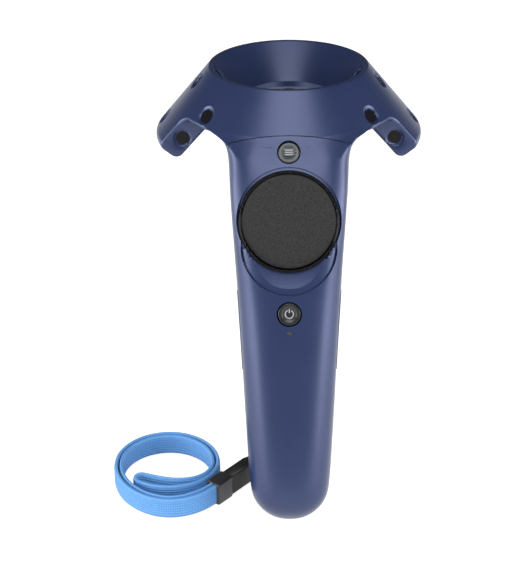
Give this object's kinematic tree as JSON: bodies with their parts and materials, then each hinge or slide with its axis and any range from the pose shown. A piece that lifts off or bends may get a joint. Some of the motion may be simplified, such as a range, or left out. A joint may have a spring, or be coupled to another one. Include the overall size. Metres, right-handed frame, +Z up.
{
  "type": "motion controller wand",
  "caption": "Handheld motion controller: a round-topped handle with touch pad, trigger and grip buttons, and a tilted sensor ring at its head, with a woven wrist strap.",
  "frame": {"origin": "middle of the grip, where a hand closes round the handle, behind the lower button", "axes": "+Z up, square to the surface that the strap lies on; -Y towards the user, so the pad faces -Y and up; +X to the user's right; the handle leans back by 20 degrees from +Z"},
  "size_m": [0.1391, 0.1656, 0.1779],
  "materials": {
    "body_plastic": "satin",
    "window_plastic": "gloss",
    "pad_plastic": "fine grained",
    "trim_plastic": "gloss",
    "button_plastic": "gloss",
    "icon_plastic": "gloss",
    "light_plastic": "gloss",
    "trigger_plastic": "satin gloss",
    "grip_plastic": "satin",
    "circuit_board": "lacquered",
    "switch_plastic": "satin",
    "flex_film": "satin",
    "frame_plastic": "satin",
    "steel": "plain",
    "battery_wrap": "satin",
    "strap_fabric": "woven",
    "slider_plastic": "satin",
    "sleeve_rubber": "satin",
    "cord_fabric": "braided"
  },
  "bodies": {
    "wand_body": {"head_shell": "body_plastic", "head_under_cover": "body_plastic", "handle_front_shell": "body_plastic", "handle_back_shell": "body_plastic", "slope_windows": "window_plastic", "funnel_windows": "window_plastic", "end_face_windows": "window_plastic", "underside_windows": "window_plastic", "sensor_boards": "circuit_board", "ring_flex_circuit": "flex_film", "flex_tail": "flex_film", "cover_screws": "steel", "pad_bezel": "trim_plastic", "pad_switch": "switch_plastic", "menu_board": "circuit_board", "menu_switch": "switch_plastic", "system_switch": "switch_plastic", "status_light_pipe": "light_plastic", "status_led": "switch_plastic", "trigger_pin": "steel", "trigger_bracket": "frame_plastic", "trigger_spring": "steel", "trigger_sensor": "circuit_board", "trigger_switch": "switch_plastic", "grip_switches": "switch_plastic", "inner_frame": "frame_plastic", "main_board": "circuit_board", "shield_can": "steel", "battery_cell": "battery_wrap", "battery_tray": "frame_plastic", "haptic_motor": "steel", "haptic_holder": "frame_plastic", "charging_socket": "steel", "charging_board": "circuit_board", "handle_screws": "steel", "strap_anchor_pin": "steel", "strap": "strap_fabric", "strap_slider": "slider_plastic", "strap_sleeve": "sleeve_rubber", "lanyard_cord": "cord_fabric"},
    "touch_pad": {"touch_pad": "pad_plastic", "touch_board": "circuit_board"},
    "menu_button": {"menu_button": "button_plastic", "menu_icon": "icon_plastic"},
    "system_button": {"system_button": "trim_plastic", "system_icon": "icon_plastic"},
    "trigger": {"trigger": "trigger_plastic", "trigger_magnet": "steel"},
    "left_grip": {"left_grip_button": "grip_plastic"},
    "right_grip": {"right_grip_button": "grip_plastic"}
  },
  "joints": [
    {"name": "pad_press", "type": "slide", "parent": "wand_body", "child": "touch_pad", "axis": [0, 0.9397, -0.342], "range_m": [0, 0.0004], "stiffness_N_per_m": 4000},
    {"name": "menu_press", "type": "slide", "parent": "wand_body", "child": "menu_button", "axis": [0, 0.7431, -0.6691], "range_m": [0, 0.0005], "stiffness_N_per_m": 2500},
    {"name": "system_press", "type": "slide", "parent": "wand_body", "child": "system_button", "axis": [0, 0.9397, -0.342], "range_m": [0, 0.0005], "stiffness_N_per_m": 2500},
    {"name": "trigger_pull", "type": "hinge", "parent": "wand_body", "child": "trigger", "pos_m": [0, 0.02587, 0.04592], "axis": [-1, 0, 0], "range_deg": [0, 14], "stiffness_Nm_per_rad": 0.12, "springref_deg": -20.05},
    {"name": "left_grip_squeeze", "type": "slide", "parent": "wand_body", "child": "left_grip", "axis": [1, 0, 0], "range_m": [0, 0.0008], "stiffness_N_per_m": 4000},
    {"name": "right_grip_squeeze", "type": "slide", "parent": "wand_body", "child": "right_grip", "axis": [-1, 0, 0], "range_m": [0, 0.0008], "stiffness_N_per_m": 4000}
  ]
}
